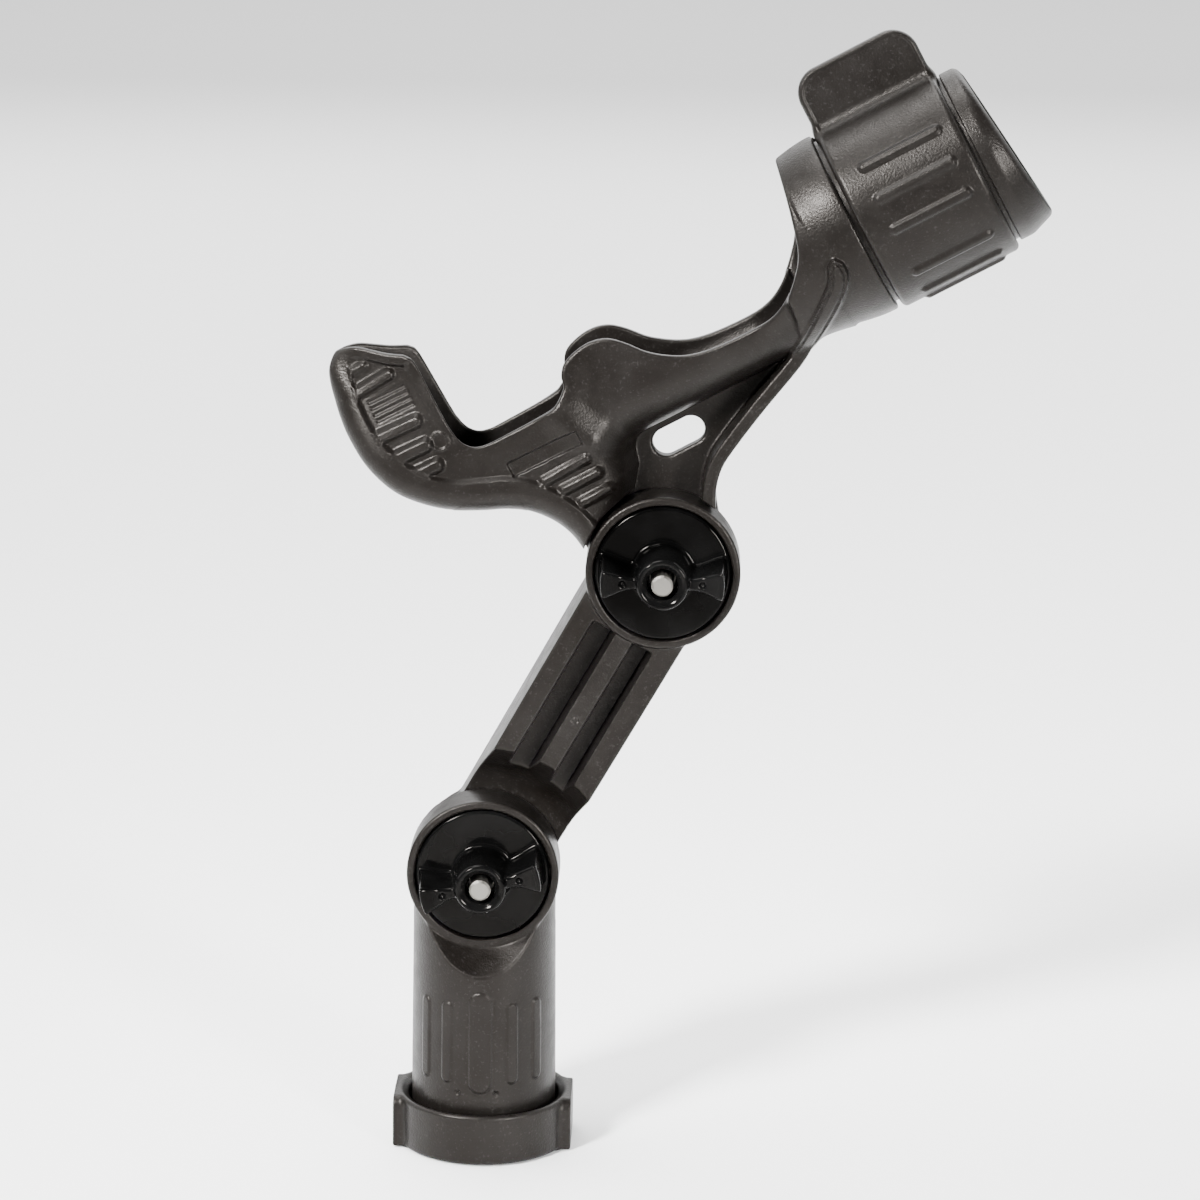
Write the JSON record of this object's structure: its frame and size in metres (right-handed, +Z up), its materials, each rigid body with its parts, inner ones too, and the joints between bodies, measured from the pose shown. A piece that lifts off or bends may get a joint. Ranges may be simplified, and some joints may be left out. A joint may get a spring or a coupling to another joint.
{
  "type": "fishing rod holder",
  "caption": "Adjustable rod holder with a post socket, a tilting arm with toothed knob-clamped joints, and an open cradle with a turning retainer ring.",
  "frame": {"origin": "centre of the base socket's mouth, on the plane of the socket rim", "axes": "+Z up the base tube; the arm and cradle tilt in the XZ plane with the barrel pointing to +X; the clamp knobs face -Y"},
  "size_m": [0.199, 0.0565, 0.3222],
  "materials": {
    "glass_filled_nylon": "fine moulded texture, black glass-filled nylon",
    "gloss_nylon": "smooth gloss black",
    "stainless_steel": "turned and tumbled",
    "spring_steel": "drawn wire",
    "black_rubber": "matt"
  },
  "bodies": {
    "base": {"base_body": "glass_filled_nylon", "collar_clip_ring": "spring_steel", "collar_drag_ring": "black_rubber", "lower_thrust_washer": "stainless_steel"},
    "collar": {"twist_collar": "glass_filled_nylon"},
    "arm": {"arm": "glass_filled_nylon", "lower_bolt": "stainless_steel", "lower_spring": "spring_steel", "upper_thrust_washer": "stainless_steel"},
    "lower_knob": {"lower_knob": "gloss_nylon", "lower_knob_nut": "stainless_steel"},
    "cradle": {"cradle": "glass_filled_nylon", "nose_ring": "glass_filled_nylon", "nose_screw_1": "stainless_steel", "nose_screw_2": "stainless_steel", "nose_screw_3": "stainless_steel", "ring_detent_spring": "spring_steel", "upper_bolt": "stainless_steel", "upper_spring": "spring_steel"},
    "upper_knob": {"upper_knob": "gloss_nylon", "upper_knob_nut": "stainless_steel"},
    "retainer": {"retainer_ring": "glass_filled_nylon"}
  },
  "joints": [
    {"name": "collar_twist", "type": "hinge", "parent": "base", "child": "collar", "pos_m": [0, 0, 0], "axis": [0, 0, 1], "range_deg": [0, 60]},
    {"name": "arm_tilt", "type": "hinge", "parent": "base", "child": "arm", "pos_m": [0, 0, 0.084], "axis": [0, 1, 0], "range_deg": [-119, 60]},
    {"name": "lower_knob_turn", "type": "hinge", "parent": "base", "child": "lower_knob", "pos_m": [0, 0, 0.084], "axis": [0, 1, 0], "continuous": true},
    {"name": "cradle_tilt", "type": "hinge", "parent": "arm", "child": "cradle", "pos_m": [0.04957, 0, 0.17269], "axis": [0, 1, 0], "range_deg": [-15, 100]},
    {"name": "upper_knob_turn", "type": "hinge", "parent": "arm", "child": "upper_knob", "pos_m": [0.04957, 0, 0.17269], "axis": [0, 1, 0], "continuous": true},
    {"name": "retainer_turn", "type": "hinge", "parent": "cradle", "child": "retainer", "pos_m": [0.02003, 0, 0.22709], "axis": [0.8788, 0, 0.4772], "range_deg": [0, 95]}
  ]
}
